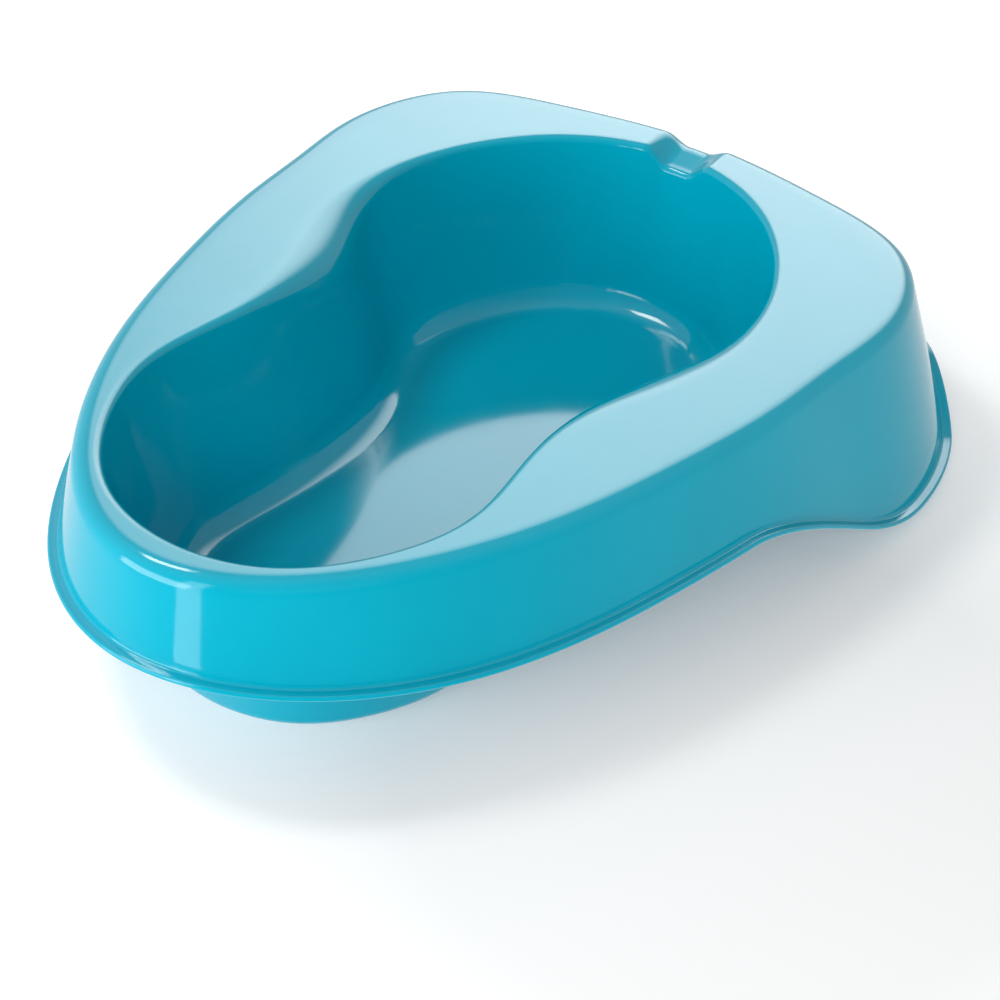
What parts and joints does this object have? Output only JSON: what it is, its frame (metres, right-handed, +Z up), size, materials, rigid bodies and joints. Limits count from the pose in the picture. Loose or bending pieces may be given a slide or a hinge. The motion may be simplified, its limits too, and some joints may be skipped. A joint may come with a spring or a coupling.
{
  "type": "bedpan support",
  "caption": "One-piece moulded bedpan support: sloping seat deck round a deep peanut-shaped bowl, drafted skirt with out-turned lip, channel at the rear.",
  "frame": {"origin": "on the ground, on the plane of symmetry, under the waist of the bowl", "axes": "+Z up, -Y towards the narrow nose, +Y towards the wide rear, X across"},
  "size_m": [0.3362, 0.3957, 0.0895],
  "materials": {
    "shell": "satin-gloss turquoise polypropylene"
  },
  "bodies": {
    "root": {"bowl_floor": "shell", "bowl_foot": "shell", "bowl_wall": "shell", "opening_lip": "shell", "seat_deck": "shell", "deck_shoulder": "shell", "rear_channel": "shell", "outer_skirt": "shell", "bottom_flange": "shell"}
  },
  "joints": []
}
